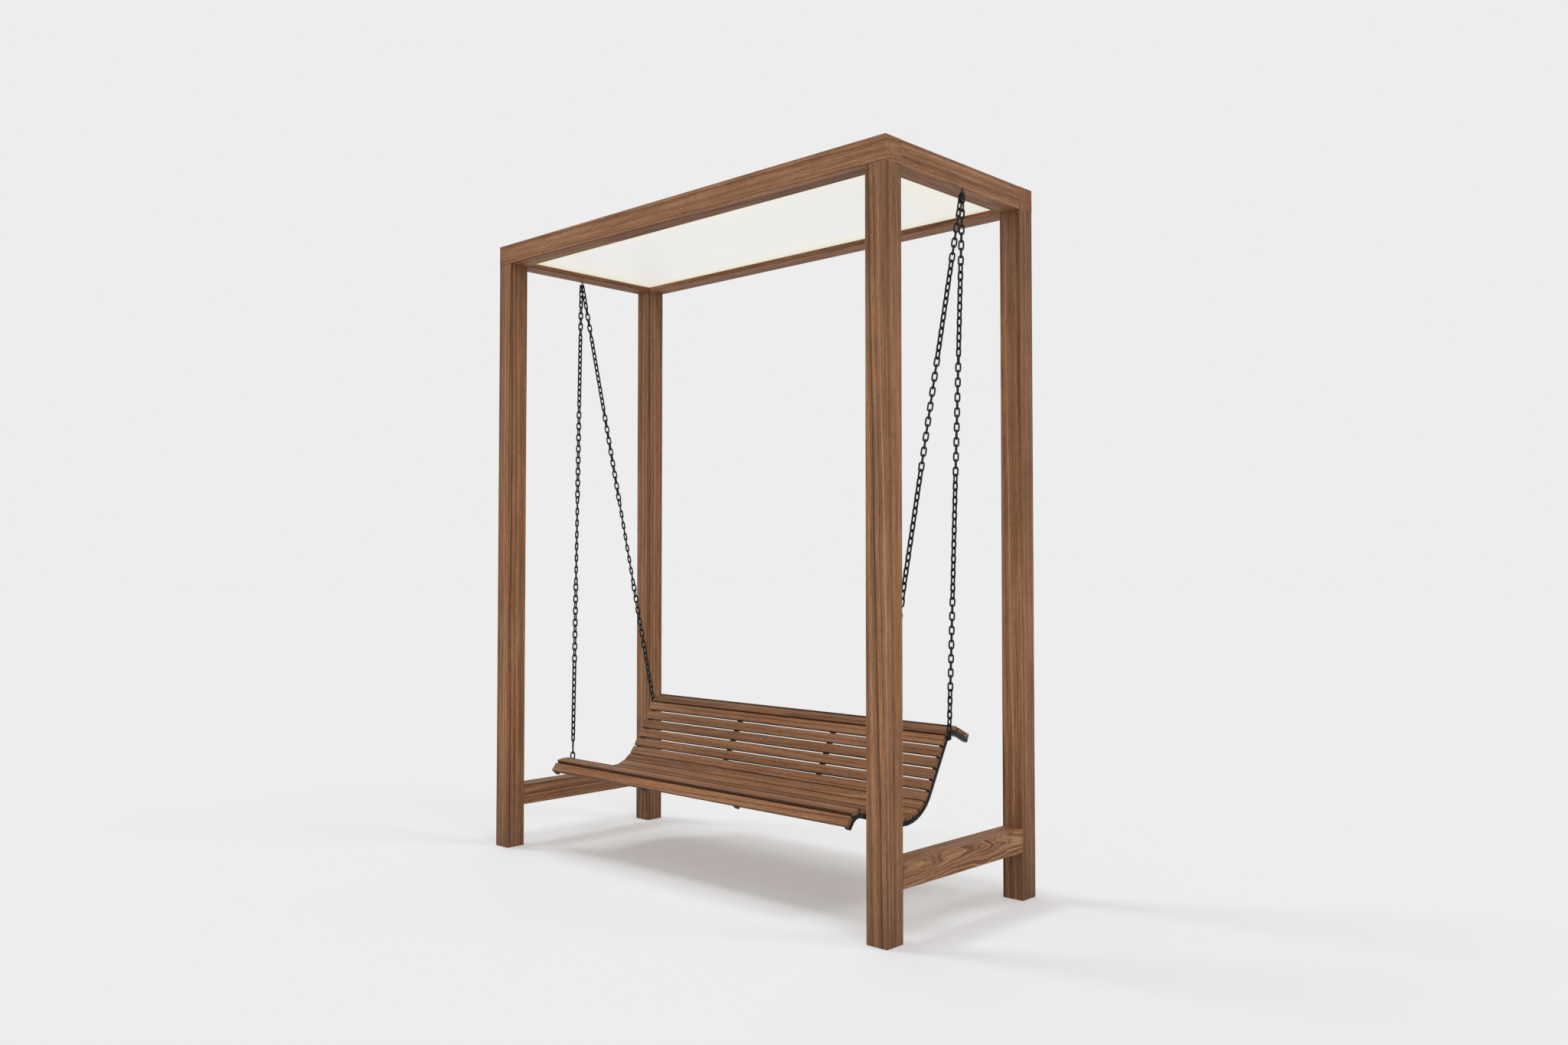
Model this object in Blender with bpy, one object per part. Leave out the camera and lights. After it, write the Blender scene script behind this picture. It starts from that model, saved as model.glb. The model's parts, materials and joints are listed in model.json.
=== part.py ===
# Arbor swing: a curved slatted bench that hangs on four chains inside a timber frame with a roof panel.
# Metres, +Z up. The origin is on the ground at the middle of the frame, and +Y points to the back.
import math

import bmesh
import bpy
from mathutils import Matrix, Vector

MM = 0.001
DEGREE = math.pi / 180
QUARTER = math.pi / 2

# Timber frame
FRAME_WIDTH = 2480 * MM
FRAME_DEPTH = 1005 * MM
FRAME_HEIGHT = 3000 * MM
POST_SIDE = 98 * MM
BEAM_WIDTH = 98 * MM
BEAM_HEIGHT = 98 * MM
STRETCHER_WIDTH = 98 * MM
STRETCHER_HEIGHT = 98 * MM
STRETCHER_RISE = 200 * MM
TIMBER_CHAMFER = 2 * MM
JOINT_GAP = 0.3 * MM
OVERRUN = 4 * MM
MERGE_DISTANCE = 0.001 * MM

# Mortise and tenon joints: width, height or second side, and length of each tenon
POST_TENON_SIDE = 44 * MM
POST_TENON_LENGTH = 45 * MM
BEAM_TENON_WIDTH = 40 * MM
BEAM_TENON_HEIGHT = 44 * MM
BEAM_TENON_LENGTH = 20 * MM
STRETCHER_TENON_WIDTH = 40 * MM
STRETCHER_TENON_HEIGHT = 60 * MM
STRETCHER_TENON_LENGTH = 30 * MM

# Roof panel, held in a groove round the inner faces of the beams
PANEL_THICKNESS = 10 * MM
PANEL_RISE = 23 * MM
PANEL_EDGE_PLAY = 2 * MM
GROOVE_DEPTH = 12 * MM
GROOVE_PLAY = 0.7 * MM

# Screw hooks under the side beams
HOOK_EDGE = 12 * MM
HOOK_SETBACK = 5 * MM
HOOK_WIRE = 6 * MM
HOOK_DROP = 16 * MM
HOOK_SCREW_LENGTH = 55 * MM
HOOK_NECK = 2 * MM
HOOK_REAR_ANGLE = 50 * DEGREE
HOOK_TIP_ANGLE = 18 * DEGREE
HOOK_ARC_STEPS = 12
HOOK_NECK_STEPS = 3
HOOK_PULL_SHARE = 0.4

# Chain: links of bent bar, each passed through the one above
LINK_PITCH = 30.4 * MM
LINK_WIDTH = 22 * MM
LINK_BAR_REACH = 3.8 * MM
LINK_BAR_SIDES = 3
LINK_WELD = 0.4 * MM
TOP_LINK_GAP = 0.8 * MM
TOP_LINK_TURN = 15 * DEGREE
LOWER_LINK_TURN = 35 * DEGREE

# Bench ribs: the side line that the slats lie on, from the toe at the front to the tail at the back
RIB_WIDTH = 22 * MM
RIB_THICKNESS = 19 * MM
BOW_CENTRE_Y = -4.3 * MM
BOW_CENTRE_RISE = 528 * MM
BOW_RADIUS = 179 * MM
SEAT_FALL = 15.9 * DEGREE
SEAT_RUN = 242 * MM
ROLL_RADIUS = 62 * MM
TOE_RISE = 53.5 * DEGREE
TOE_RUN = 24 * MM
BACK_RISE = 60.8 * DEGREE
BACK_RUN = 247.5 * MM
CREST_RADIUS = 61 * MM
TAIL_FALL = 25.2 * DEGREE
TAIL_RUN = 95.5 * MM
ROLL_STEPS = 6
BOW_STEPS = 8
CREST_STEPS = 8
INNER_RIB_SHARES = (-0.308, 0.34)

# Slats, whose ends stand clear of the posts
BENCH_SIDE_ROOM = 197 * MM
SLAT_WIDTH = 42 * MM
SLAT_THICKNESS = 18 * MM
SLAT_GAP = 8.5 * MM
SLAT_CHAMFER = 2.5 * MM
SLAT_SEAT_GAP = 0.3 * MM
FIRST_SEAT_SLAT = 107 * MM
SEAT_SLATS = 8
BACK_SLATS = 7

# Slats on the two bends: how far round its bend each one lies, and its gap to the slat before it
ROLL_SLAT_SHARE = 0.38
ROLL_SLAT_GAP = 6 * MM
TOE_SLAT_SHARE = 1.0
TOE_SLAT_GAP = 7 * MM
TOP_SLAT_SHARE = 0.265
TOP_SLAT_GAP = 1.5 * MM
CREST_SLAT_SHARE = 0.837
CREST_SLAT_GAP = 3.3 * MM
TAIL_SLAT_SHARE = 1.0
TAIL_SLAT_GAP = 6 * MM

# Chain pins through the end ribs, each with a collar, a neck for the last link, a cap and a nut
PIN_DIAMETER = 8 * MM
PIN_COLLAR_DIAMETER = 14 * MM
PIN_COLLAR_LENGTH = 5 * MM
PIN_NECK_LENGTH = 8.8 * MM
PIN_CAP_DIAMETER = 15 * MM
PIN_CAP_LENGTH = 4 * MM
PIN_CAP_ROUND = 1.5 * MM
PIN_STUB_LENGTH = 2 * MM
PIN_SIDES = 8
NUT_FLATS = 12 * MM
NUT_LENGTH = 6.5 * MM
FRONT_PIN_RUN = 41.5 * MM
FRONT_PIN_DEPTH = 9.5 * MM
REAR_PIN_SHARE = 0.1
REAR_PIN_DEPTH = 7 * MM

TEAK = (0.27, 0.145, 0.075, 1.0)
BLACK_STEEL = (0.012, 0.013, 0.014, 1.0)
FROSTED_WHITE = (0.86, 0.85, 0.81, 1.0)

INNER_DEPTH = FRAME_DEPTH - 2 * BEAM_WIDTH
INNER_WIDTH = FRAME_WIDTH - 2 * BEAM_WIDTH
BENCH_LENGTH = FRAME_WIDTH - 2 * (POST_SIDE + BENCH_SIDE_ROOM)
BEAM_UNDERSIDE = FRAME_HEIGHT - BEAM_HEIGHT
POST_X = (FRAME_WIDTH - POST_SIDE) / 2
POST_Y = (FRAME_DEPTH - POST_SIDE) / 2
SIDE_BEAM_X = (FRAME_WIDTH - BEAM_WIDTH) / 2
LONG_BEAM_Y = (FRAME_DEPTH - BEAM_WIDTH) / 2
BEAM_MIDDLE = BEAM_UNDERSIDE + BEAM_HEIGHT / 2
BEAM_TENON_MIDDLE = FRAME_HEIGHT - BEAM_HEIGHT / 2
STRETCHER_X = POST_X
STRETCHER_MIDDLE = STRETCHER_RISE + STRETCHER_HEIGHT / 2

HOOK_X = FRAME_WIDTH / 2 - HOOK_EDGE
PIVOT_HEIGHT = BEAM_UNDERSIDE - HOOK_DROP
LINK_BAR_HALF = LINK_BAR_REACH * math.cos(DEGREE * 180 / LINK_BAR_SIDES / 2)
LINK_HALF_WIDTH = (LINK_WIDTH - LINK_BAR_REACH) / 2


def clear_scene():
    for obj in list(bpy.data.objects):
        bpy.data.objects.remove(obj)


def finish_material(obj, colour, roughness, metallic):
    material = bpy.data.materials.new(obj.name)
    material.use_nodes = True
    shader = material.node_tree.nodes["Principled BSDF"]
    shader.inputs["Base Color"].default_value = colour
    shader.inputs["Roughness"].default_value = roughness
    shader.inputs["Metallic"].default_value = metallic
    obj.data.materials.append(material)


def wood(obj):
    finish_material(obj, TEAK, 0.6, 0.0)


def steel(obj):
    finish_material(obj, BLACK_STEEL, 0.45, 0.6)


def frosted(obj):
    finish_material(obj, FROSTED_WHITE, 0.35, 0.0)


def new_object(name, data, location=(0, 0, 0), parent=None):
    """A new object at a world position. A parent is an unturned empty."""
    obj = bpy.data.objects.new(name, data)
    bpy.context.collection.objects.link(obj)
    obj.location = location
    if parent:
        obj.parent = parent
        obj.location = Vector(location) - parent.location
    return obj


def mesh_object(name, bm, location=(0, 0, 0), parent=None):
    bmesh.ops.recalc_face_normals(bm, faces=bm.faces)
    mesh = bpy.data.meshes.new(name)
    bm.to_mesh(mesh)
    bm.free()
    return new_object(name, mesh, location, parent)


def make_helper(obj):
    obj.hide_render = True
    obj.display_type = "WIRE"
    return obj


def boolean(obj, other, operation):
    modifier = obj.modifiers.new(operation.lower(), "BOOLEAN")
    modifier.operation = operation
    modifier.solver = "EXACT"
    modifier.object = other


def cut_boxes(obj, boxes):
    """Cuts boxes, given as world centres and sizes, out of an object."""
    bm = bmesh.new()
    for centre, size in boxes:
        placed = Matrix.Translation(centre) @ Matrix.Diagonal((*size, 1.0))
        bmesh.ops.create_cube(bm, size=1.0, matrix=placed)
    boolean(obj, make_helper(mesh_object(obj.name + "_cutter", bm)), "DIFFERENCE")


def cut_round(obj, name, centre, axis, diameter, length):
    """Drills a round hole whose axis is +X or +Z."""
    turn = Matrix.Rotation(QUARTER, 4, "Y") if axis == "X" else Matrix.Identity(4)
    bm = bmesh.new()
    bmesh.ops.create_cone(bm, cap_ends=True, segments=PIN_SIDES, radius1=diameter / 2,
                          radius2=diameter / 2, depth=length, matrix=turn)
    boolean(obj, make_helper(mesh_object(name, bm, centre)), "DIFFERENCE")


def chamfered_bar(width, height, length, chamfer):
    """A bar along Z with its four long edges chamfered, in a bmesh."""
    bm = bmesh.new()
    bmesh.ops.create_cube(bm, size=1.0, matrix=Matrix.Diagonal((width, height, length, 1.0)))
    long_edges = [edge for edge in bm.edges if abs((edge.verts[0].co - edge.verts[1].co).z) > length / 2]
    bmesh.ops.bevel(bm, geom=long_edges, offset=chamfer, affect="EDGES", segments=1, profile=0.5, material=-1)
    return bm


def add_tenon(bm, end, shoulder, tenon_width, tenon_height, tenon_length, width, height):
    """Draws a tenon out of the bar's end face. end is 1 for the upper end and -1 for the lower."""
    face = max(bm.faces, key=lambda found: end * found.calc_center_median().z)
    for scale, rise in (((tenon_width / width, tenon_height / height), 0), ((1, 1), tenon_length)):
        grown = bmesh.ops.extrude_discrete_faces(bm, faces=[face])
        face = grown["faces"][0]
        for vert in face.verts:
            vert.co.x *= scale[0]
            vert.co.y *= scale[1]
            vert.co.z = end * (shoulder + rise)


def timber(name, width, height, length, tenon, ends, location, turn):
    """A length of timber with a tenon, as (width, height, length), at each named end."""
    bm = chamfered_bar(width, height, length, TIMBER_CHAMFER)
    for end in ends:
        add_tenon(bm, end, length / 2, *tenon, width, height)
    obj = mesh_object(name, bm, location)
    obj.rotation_euler = turn
    wood(obj)
    return obj


def build_posts():
    """Four posts with a stub tenon up into the long beam and a mortise for the stretcher."""
    length = BEAM_UNDERSIDE - JOINT_GAP
    tenon = (POST_TENON_SIDE, POST_TENON_SIDE, POST_TENON_LENGTH)
    for row, y_side in (("front", -1), ("rear", 1)):
        for hand, x_side in (("left", -1), ("right", 1)):
            place = (x_side * POST_X, y_side * POST_Y, length / 2)
            post = timber(f"post_{row}_{hand}", POST_SIDE, POST_SIDE, length, tenon, (1,), place, (0, 0, 0))
            depth = STRETCHER_TENON_LENGTH + JOINT_GAP + OVERRUN
            inner_face = y_side * (FRAME_DEPTH / 2 - POST_SIDE)
            middle = inner_face + y_side * (depth / 2 - OVERRUN)
            size = (STRETCHER_TENON_WIDTH + 2 * JOINT_GAP, depth, STRETCHER_TENON_HEIGHT + 2 * JOINT_GAP)
            cut_boxes(post, [((x_side * STRETCHER_X, middle, STRETCHER_MIDDLE), size)])


def build_stretchers():
    """Two rails low down between the front and rear posts."""
    length = FRAME_DEPTH - 2 * POST_SIDE - 2 * JOINT_GAP
    tenon = (STRETCHER_TENON_WIDTH, STRETCHER_TENON_HEIGHT, STRETCHER_TENON_LENGTH)
    for hand, x_side in (("left", -1), ("right", 1)):
        timber(f"stretcher_{hand}", STRETCHER_WIDTH, STRETCHER_HEIGHT, length, tenon, (1, -1),
               (x_side * STRETCHER_X, 0, STRETCHER_MIDDLE), (QUARTER, 0, 0))


def build_long_beams():
    """The front and rear beams lie on the posts and take the side beams' tenons in their inner faces."""
    for row, y_side in (("front", -1), ("rear", 1)):
        place = (0, y_side * LONG_BEAM_Y, BEAM_MIDDLE)
        beam = timber(f"beam_{row}", BEAM_HEIGHT, BEAM_WIDTH, FRAME_WIDTH, None, (), place, (0, QUARTER, 0))
        inner_face = y_side * INNER_DEPTH / 2
        boxes = [groove_box((0, inner_face + y_side * (GROOVE_DEPTH - OVERRUN) / 2),
                            (INNER_WIDTH + 2 * GROOVE_DEPTH, GROOVE_DEPTH + OVERRUN))]
        for x_side in (-1, 1):
            height = POST_TENON_LENGTH + JOINT_GAP + OVERRUN
            post_mortise = (POST_TENON_SIDE + 2 * JOINT_GAP, POST_TENON_SIDE + 2 * JOINT_GAP, height)
            boxes.append(((x_side * POST_X, y_side * POST_Y, BEAM_UNDERSIDE + height / 2 - OVERRUN), post_mortise))
            depth = BEAM_TENON_LENGTH + JOINT_GAP + OVERRUN
            side_mortise = (BEAM_TENON_WIDTH + 2 * JOINT_GAP, depth, BEAM_TENON_HEIGHT + 2 * JOINT_GAP)
            middle = inner_face + y_side * (depth / 2 - OVERRUN)
            boxes.append(((x_side * SIDE_BEAM_X, middle, BEAM_TENON_MIDDLE), side_mortise))
        cut_boxes(beam, boxes)


def groove_box(middle, size):
    """The box that cuts the panel's groove, from its place and size in plan."""
    height = PANEL_THICKNESS + JOINT_GAP + GROOVE_PLAY
    floor = BEAM_UNDERSIDE + PANEL_RISE - JOINT_GAP
    return (*middle, floor + height / 2), (*size, height)


def build_side_beams():
    """The left and right beams run between the long ones and carry the hooks."""
    length = INNER_DEPTH - 2 * JOINT_GAP
    tenon = (BEAM_TENON_WIDTH, BEAM_TENON_HEIGHT, BEAM_TENON_LENGTH)
    for hand, x_side in (("left", -1), ("right", 1)):
        beam = timber(f"beam_{hand}", BEAM_WIDTH, BEAM_HEIGHT, length, tenon, (1, -1),
                      (x_side * SIDE_BEAM_X, 0, BEAM_MIDDLE), (QUARTER, 0, 0))
        middle = x_side * (INNER_WIDTH / 2 + (GROOVE_DEPTH - OVERRUN) / 2)
        cut_boxes(beam, [groove_box((middle, 0), (GROOVE_DEPTH + OVERRUN, length + 2 * OVERRUN))])
        depth = HOOK_SCREW_LENGTH + JOINT_GAP + OVERRUN
        hole = (x_side * HOOK_X, HOOK_SETBACK, BEAM_UNDERSIDE + depth / 2 - OVERRUN)
        cut_round(beam, f"hook_hole_{hand}", hole, "Z", HOOK_WIRE + 2 * JOINT_GAP, depth)


def build_panel():
    """The flat roof sheet, its edges in the grooves."""
    reach = 2 * (GROOVE_DEPTH - PANEL_EDGE_PLAY)
    size = (INNER_WIDTH + reach, INNER_DEPTH + reach, PANEL_THICKNESS)
    bm = bmesh.new()
    bmesh.ops.create_cube(bm, size=1.0, matrix=Matrix.Diagonal((*size, 1.0)))
    frosted(mesh_object("roof_panel", bm, (0, 0, BEAM_UNDERSIDE + PANEL_RISE + PANEL_THICKNESS / 2)))


def bowl_radius():
    """Inner radius of the hook: two link bars side by side, and room to turn."""
    return 2 * LINK_BAR_HALF + TOP_LINK_GAP / 2 + JOINT_GAP


def hook_route():
    """Middle line of the hook's wire in its own plane: screw, neck, bowl and tip, about the bowl's centre."""
    radius = bowl_radius() + HOOK_WIRE / 2
    neck_top = Vector((0, HOOK_DROP - HOOK_NECK))
    bowl_start = radius * Vector((math.cos(HOOK_REAR_ANGLE), math.sin(HOOK_REAR_ANGLE)))
    pull = HOOK_PULL_SHARE * (neck_top - bowl_start).length
    towards = Vector((math.sin(HOOK_REAR_ANGLE), -math.cos(HOOK_REAR_ANGLE)))
    handles = (neck_top, neck_top - Vector((0, pull)), bowl_start - pull * towards, bowl_start)
    route = [Vector((0, HOOK_DROP + HOOK_SCREW_LENGTH))]
    for step in range(HOOK_NECK_STEPS):
        t = step / HOOK_NECK_STEPS
        weights = ((1 - t) ** 3, 3 * t * (1 - t) ** 2, 3 * t * t * (1 - t), t ** 3)
        route.append(sum((weight * handle for weight, handle in zip(weights, handles)), Vector((0, 0))))
    sweep = HOOK_REAR_ANGLE + math.pi + HOOK_TIP_ANGLE
    for step in range(HOOK_ARC_STEPS + 1):
        angle = HOOK_REAR_ANGLE - sweep * step / HOOK_ARC_STEPS
        route.append(radius * Vector((math.cos(angle), math.sin(angle))))
    return route


def build_hooks():
    """Open screw hooks, one under each side beam, bent in the plane in which the bench swings."""
    for hand, x_side in (("left", -1), ("right", 1)):
        curve = bpy.data.curves.new(f"hook_{hand}", "CURVE")
        curve.dimensions = "3D"
        curve.bevel_depth = HOOK_WIRE / 2
        curve.bevel_resolution = 1
        curve.use_fill_caps = True
        route = hook_route()
        spline = curve.splines.new("POLY")
        spline.points.add(len(route) - 1)
        for point, place in zip(spline.points, route):
            point.co = (0, place.x, place.y, 1)
        steel(new_object(curve.name, curve, (x_side * HOOK_X, HOOK_SETBACK, PIVOT_HEIGHT)))


def along(angle):
    """Unit vector, in (y, z), of a line that rises backwards at an angle."""
    return Vector((math.cos(angle), math.sin(angle)))


def above(angle):
    """Unit vector square to along(angle), on the sitter's side."""
    return Vector((-math.sin(angle), math.cos(angle)))


class RibLine:
    """The line in (y, z) that the slats lie on: points with their run along the line and their heading."""

    def __init__(self):
        bow_centre = Vector((BOW_CENTRE_Y, BOW_CENTRE_RISE))
        seat_end = bow_centre - BOW_RADIUS * above(-SEAT_FALL)
        seat_start = seat_end - SEAT_RUN * along(-SEAT_FALL)
        self.roll_centre = seat_start - ROLL_RADIUS * above(-SEAT_FALL)
        back_start = bow_centre - BOW_RADIUS * above(BACK_RISE)
        back_end = back_start + BACK_RUN * along(BACK_RISE)
        self.crest_centre = back_end - CREST_RADIUS * above(BACK_RISE)
        tail_start = self.crest_centre + CREST_RADIUS * above(-TAIL_FALL)
        toe_end = self.roll_centre + ROLL_RADIUS * above(TOE_RISE)
        self.points = [toe_end - TOE_RUN * along(TOE_RISE)]
        self.headings = [TOE_RISE]
        self.add_bend(self.roll_centre, ROLL_RADIUS, TOE_RISE, -SEAT_FALL, ROLL_STEPS)
        self.seat_index = len(self.points) - 1
        self.add_bend(bow_centre, -BOW_RADIUS, -SEAT_FALL, BACK_RISE, BOW_STEPS)
        self.add_bend(self.crest_centre, CREST_RADIUS, BACK_RISE, -TAIL_FALL, CREST_STEPS)
        self.points.append(tail_start + TAIL_RUN * along(-TAIL_FALL))
        self.headings.append(-TAIL_FALL)
        self.runs = [0.0]
        for first, second in zip(self.points, self.points[1:]):
            self.runs.append(self.runs[-1] + (second - first).length)

    def add_bend(self, centre, radius, start, end, steps):
        for step in range(steps + 1):
            heading = start + (end - start) * step / steps
            self.points.append(centre + radius * above(heading))
            self.headings.append(heading)

    def at(self, run):
        """The point at a run along the line, and the heading of the stretch that it lies on."""
        index = max(i for i, start in enumerate(self.runs[:-1]) if start <= max(run, 0))
        first, second = self.points[index], self.points[index + 1]
        heading = (second - first).normalized()
        return first + (run - self.runs[index]) * heading, math.atan2(heading.y, heading.x)

    def outline(self):
        """The rib's side outline: the line itself, then its underside."""
        under = [point - RIB_THICKNESS * above(heading) for point, heading in zip(self.points, self.headings)]
        return self.points + under[::-1]


class Slat:
    """A slat's place in (y, z): the middle of its back face, and its heading."""

    def __init__(self, name, middle, heading):
        self.name, self.middle, self.heading = name, middle, heading

    def back_corner(self, side):
        return self.middle + side * SLAT_WIDTH / 2 * along(self.heading)


def slat_on_run(line, name, run):
    """A slat laid flat on a straight or hollow stretch: it rests on the highest points under it."""
    first, _ = line.at(run - SLAT_WIDTH / 2)
    last, _ = line.at(run + SLAT_WIDTH / 2)
    middle, heading = line.at(run)
    if line.runs[line.seat_index] < run - SLAT_WIDTH / 2 and (last - first).cross(middle - first) < 0:
        heading = math.atan2((last - first).y, (last - first).x)
    below = [point for point, at in zip(line.points, line.runs) if abs(at - run) < SLAT_WIDTH / 2]
    lift = max((point - middle).dot(above(heading)) for point in (*below, first, middle, last))
    return Slat(name, middle + (lift + SLAT_SEAT_GAP) * above(heading), heading)


def slat_on_bend(name, centre, radius, heading, gap, neighbour, side):
    """A slat that touches a bend at its own heading, its near edge at a gap from its neighbour's back corner."""
    touch = centre + (radius + SLAT_SEAT_GAP) * above(heading)
    corner = neighbour.back_corner(side)
    reach = (corner - touch).dot(along(heading))
    offset = (corner - touch).dot(above(heading))
    near = reach + side * math.sqrt(max(gap ** 2 - offset ** 2, 0))
    return Slat(name, touch + (near + side * SLAT_WIDTH / 2) * along(heading), heading)


def lay_out_slats(line):
    pitch = SLAT_WIDTH + SLAT_GAP
    names = [f"seat_slat_{n + 1}" for n in range(SEAT_SLATS)]
    names += [f"back_slat_{n + 1}" for n in range(BACK_SLATS)]
    slats = [slat_on_run(line, name, FIRST_SEAT_SLAT + n * pitch) for n, name in enumerate(names)]
    roll_turn, crest_turn = TOE_RISE + SEAT_FALL, BACK_RISE + TAIL_FALL
    front = slats[0]
    for name, share, gap in (("roll_slat", ROLL_SLAT_SHARE, ROLL_SLAT_GAP),
                             ("toe_slat", TOE_SLAT_SHARE, TOE_SLAT_GAP)):
        heading = share * roll_turn - SEAT_FALL
        front = slat_on_bend(name, line.roll_centre, ROLL_RADIUS, heading, gap, front, -1)
        slats.append(front)
    rear = slats[len(names) - 1]
    for name, share, gap in (("top_slat", TOP_SLAT_SHARE, TOP_SLAT_GAP),
                             ("crest_slat", CREST_SLAT_SHARE, CREST_SLAT_GAP),
                             ("tail_slat_1", TAIL_SLAT_SHARE, TAIL_SLAT_GAP),
                             ("tail_slat_2", TAIL_SLAT_SHARE, TAIL_SLAT_GAP)):
        heading = BACK_RISE - share * crest_turn
        rear = slat_on_bend(name, line.crest_centre, CREST_RADIUS, heading, gap, rear, 1)
        slats.append(rear)
    return slats


def build_slats(line, pivot):
    for slat in lay_out_slats(line):
        bm = chamfered_bar(SLAT_THICKNESS, SLAT_WIDTH, BENCH_LENGTH, SLAT_CHAMFER)
        bmesh.ops.rotate(bm, verts=bm.verts, matrix=Matrix.Rotation(QUARTER, 3, "Y"))
        middle = slat.middle + SLAT_THICKNESS / 2 * above(slat.heading)
        obj = mesh_object(slat.name, bm, (0, middle.x, middle.y), pivot)
        obj.rotation_euler = (slat.heading, 0, 0)
        wood(obj)


def pin_places(line):
    """Where the chain pins cross the end ribs, in (y, z)."""
    seat_start = line.points[line.seat_index]
    front = seat_start + FRONT_PIN_RUN * along(-SEAT_FALL) - FRONT_PIN_DEPTH * above(-SEAT_FALL)
    heading = BACK_RISE - REAR_PIN_SHARE * (BACK_RISE + TAIL_FALL)
    rear = line.crest_centre + (CREST_RADIUS - REAR_PIN_DEPTH) * above(heading)
    return (("front", front, -1), ("rear", rear, 1))


def build_ribs(line, pivot):
    """Four bent flat bars under the slats. The end ones are drilled for the chain pins."""
    end = (BENCH_LENGTH - RIB_WIDTH) / 2
    left, right = INNER_RIB_SHARES
    places = (("left_end", -end), ("left_middle", left * end), ("right_middle", right * end), ("right_end", end))
    for name, x in places:
        bm = bmesh.new()
        outline = [bm.verts.new((-RIB_WIDTH / 2, point.x, point.y)) for point in line.outline()]
        side = bm.faces.new(outline)
        grown = bmesh.ops.extrude_face_region(bm, geom=[side])["geom"]
        moved = [item for item in grown if isinstance(item, bmesh.types.BMVert)]
        bmesh.ops.translate(bm, verts=moved, vec=(RIB_WIDTH, 0, 0))
        rib = mesh_object(f"rib_{name}", bm, (x, 0, 0), pivot)
        steel(rib)
        if abs(x) == end:
            for row, place, _ in pin_places(line):
                cut_round(rib, f"pin_hole_{row}_{name}", (x, place.x, place.y), "X",
                          PIN_DIAMETER + 2 * JOINT_GAP, RIB_WIDTH + 2 * OVERRUN)


def turned(profile):
    """A solid turned round the X axis from (x, radius) points, its ends closed at the axis."""
    bm = bmesh.new()
    verts = [bm.verts.new((x, 0, radius)) for x, radius in profile]
    edges = [bm.edges.new(pair) for pair in zip(verts, verts[1:])]
    bmesh.ops.spin(bm, geom=verts + edges, cent=(0, 0, 0), axis=(1, 0, 0), angle=2 * math.pi,
                   steps=PIN_SIDES, use_merge=True)
    bmesh.ops.remove_doubles(bm, verts=bm.verts, dist=MERGE_DISTANCE)
    return bm


def pin_profile():
    """Pin from its threaded stub outwards to its cap, with x measured from the rib's outer face."""
    inner = -(RIB_WIDTH + JOINT_GAP + NUT_LENGTH + PIN_STUB_LENGTH)
    collar = JOINT_GAP
    neck = collar + PIN_COLLAR_LENGTH
    cap = neck + PIN_NECK_LENGTH
    outer = cap + PIN_CAP_LENGTH
    thin, wide, broad = PIN_DIAMETER / 2, PIN_COLLAR_DIAMETER / 2, PIN_CAP_DIAMETER / 2
    return ((inner, 0), (inner, thin), (collar, thin), (collar, wide), (neck, wide), (neck, thin), (cap, thin),
            (cap, broad), (outer - PIN_CAP_ROUND, broad), (outer, broad - PIN_CAP_ROUND), (outer, 0))


def build_pins(line, pivot):
    for hand, x_side in (("left", -1), ("right", 1)):
        for row, place, _ in pin_places(line):
            face = (x_side * BENCH_LENGTH / 2, place.x, place.y)
            profile = [(x_side * x, radius) for x, radius in pin_profile()]
            pin = mesh_object(f"chain_pin_{row}_{hand}", turned(profile), face, pivot)
            pin.data.shade_smooth()
            pin.data.set_sharp_from_angle(angle=QUARTER / 3)
            steel(pin)
            middle = x_side * (BENCH_LENGTH / 2 - RIB_WIDTH - JOINT_GAP - NUT_LENGTH / 2)
            bm = bmesh.new()
            bmesh.ops.create_cone(bm, cap_ends=True, segments=6, radius1=NUT_FLATS / math.sqrt(3),
                                  radius2=NUT_FLATS / math.sqrt(3), depth=NUT_LENGTH,
                                  matrix=Matrix.Rotation(QUARTER, 4, "Y"))
            nut = mesh_object(f"chain_nut_{row}_{hand}", bm, (middle, place.x, place.y), pivot)
            cut_round(nut, f"nut_hole_{row}_{hand}", (middle, place.x, place.y), "X",
                      PIN_DIAMETER + 2 * JOINT_GAP, NUT_LENGTH + 2 * OVERRUN)
            steel(nut)


def add_link(bm, top, down, lateral, length):
    """One link: a bar bent to a loop whose ends stand square. top is the middle of its upper bar."""
    normal = down.cross(lateral)
    rings = []
    for corner in range(LINK_BAR_SIDES):
        angle = 2 * math.pi * corner / LINK_BAR_SIDES
        inward, sideways = LINK_BAR_REACH * math.cos(angle), LINK_BAR_REACH * math.sin(angle)
        half = LINK_HALF_WIDTH - inward
        spots = ((inward, -half), (inward, half), (length - inward, half), (length - inward, -half))
        rings.append([bm.verts.new(top + drop * down + across * lateral + sideways * normal) for drop, across in spots])
    for ring, after in zip(rings, rings[1:] + rings[:1]):
        for i in range(len(ring)):
            j = (i + 1) % len(ring)
            bm.faces.new((ring[i], ring[j], after[j], after[i]))


def link_turn(number, count):
    """How far a link is turned about the chain: a quarter for each link, and a slow twist between the ends."""
    quarter_turns = number * QUARTER
    if number == 0:
        return TOP_LINK_TURN
    last_turn = QUARTER if (count - 1) % 2 == 0 else 0
    return quarter_turns + LOWER_LINK_TURN + (last_turn - LOWER_LINK_TURN) * (number - 1) / (count - 2)


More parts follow.
